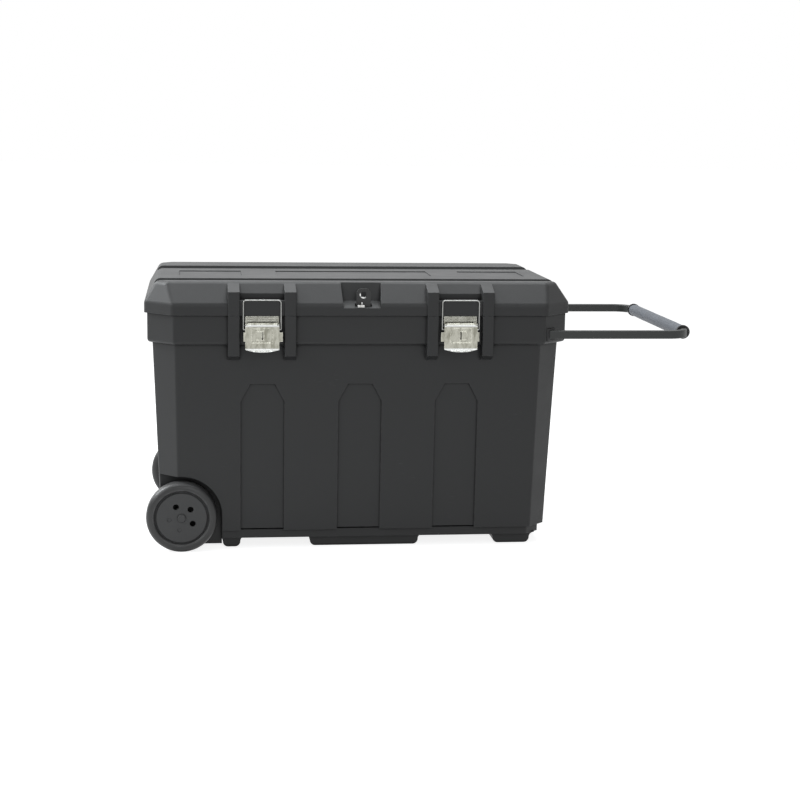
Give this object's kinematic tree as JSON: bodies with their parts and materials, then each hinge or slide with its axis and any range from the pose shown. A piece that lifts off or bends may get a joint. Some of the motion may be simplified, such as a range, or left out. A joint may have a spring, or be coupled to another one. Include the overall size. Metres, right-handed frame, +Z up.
{
  "type": "wheeled jobsite storage box",
  "caption": "Moulded black tool chest on wheels with a hinged lid, draw latches, a padlock eye and a sliding U-shaped pull handle with a foam grip.",
  "frame": {"origin": "on the floor, under the middle of the lid's outline, in the flat underside of the centre foot", "axes": "+X along the length towards the pull handle, +Y from the front with the latches to the hinged back, +Z up"},
  "size_m": [1.2545, 0.6244, 0.613],
  "materials": {
    "box_plastic": "moulded satin, fine grain",
    "trim_plastic": "smooth satin",
    "wheel_plastic": "moulded satin",
    "wheel_tread": "matt",
    "latch_plate": "nickel plated, satin",
    "latch_wire": "nickel plated, bright",
    "bright_steel": "zinc plated",
    "eye_steel": "black, worn bright round the hole",
    "handle_paint": "black powder coat",
    "grip_foam": "closed-cell foam with a dull sheen",
    "seal_foam": "foam strip"
  },
  "bodies": {
    "tub": {"tub": "box_plastic", "hinge_pins": "bright_steel", "padlock_eye": "eye_steel", "padlock_eye_screws": "bright_steel", "latch_base_left": "latch_plate", "latch_base_right": "latch_plate", "latch_pin_left": "bright_steel", "latch_pin_right": "bright_steel", "latch_rivets": "bright_steel", "handle_sleeve_front": "trim_plastic", "handle_sleeve_rear": "trim_plastic", "handle_guides": "trim_plastic", "sleeve_screws": "bright_steel", "axle": "bright_steel", "axle_caps": "wheel_plastic", "wheel_washers": "bright_steel"},
    "lid": {"lid": "box_plastic", "lid_gasket": "seal_foam"},
    "lever_left": {"latch_lever_left": "latch_plate"},
    "lever_right": {"latch_lever_right": "latch_plate"},
    "bail_left": {"latch_bail_left": "latch_wire"},
    "bail_right": {"latch_bail_right": "latch_wire"},
    "handle": {"handle_tube": "handle_paint", "handle_grip": "grip_foam", "grip_end_rings": "trim_plastic", "arm_sliders": "trim_plastic"},
    "wheel_front": {"wheel_hub_front": "wheel_plastic", "tyre_front": "wheel_tread"},
    "wheel_rear": {"wheel_hub_rear": "wheel_plastic", "tyre_rear": "wheel_tread"}
  },
  "joints": [
    {"name": "lid_hinge", "type": "hinge", "parent": "tub", "child": "lid", "pos_m": [0, 0.305, 0.541], "axis": [-1, 0, 0], "range_deg": [0, 105]},
    {"name": "handle_slide", "type": "slide", "parent": "tub", "child": "handle", "axis": [1, 0, 0], "range_m": [-0.25, 0]},
    {"name": "wheel_front_spin", "type": "hinge", "parent": "tub", "child": "wheel_front", "pos_m": [-0.402, -0.255, 0.08], "axis": [0, 1, 0], "continuous": true},
    {"name": "wheel_rear_spin", "type": "hinge", "parent": "tub", "child": "wheel_rear", "pos_m": [-0.402, 0.255, 0.08], "axis": [0, 1, 0], "continuous": true},
    {"name": "latch_lever_left_lift", "type": "hinge", "parent": "tub", "child": "lever_left", "pos_m": [-0.222, -0.2994, 0.52], "axis": [-1, 0, 0], "range_deg": [0, 110]},
    {"name": "latch_bail_left_swing", "type": "hinge", "parent": "lever_left", "child": "bail_left", "pos_m": [-0.222, -0.2979, 0.51], "axis": [-1, 0, 0], "range_deg": [-110, 0]},
    {"name": "latch_lever_right_lift", "type": "hinge", "parent": "tub", "child": "lever_right", "pos_m": [0.222, -0.2994, 0.52], "axis": [-1, 0, 0], "range_deg": [0, 110]},
    {"name": "latch_bail_right_swing", "type": "hinge", "parent": "lever_right", "child": "bail_right", "pos_m": [0.222, -0.2979, 0.51], "axis": [-1, 0, 0], "range_deg": [-110, 0]}
  ],
  "couplings": [
    {"joint": "latch_bail_left_swing", "follows": "latch_lever_left_lift", "ratio": -1},
    {"joint": "latch_bail_right_swing", "follows": "latch_lever_right_lift", "ratio": -1}
  ]
}
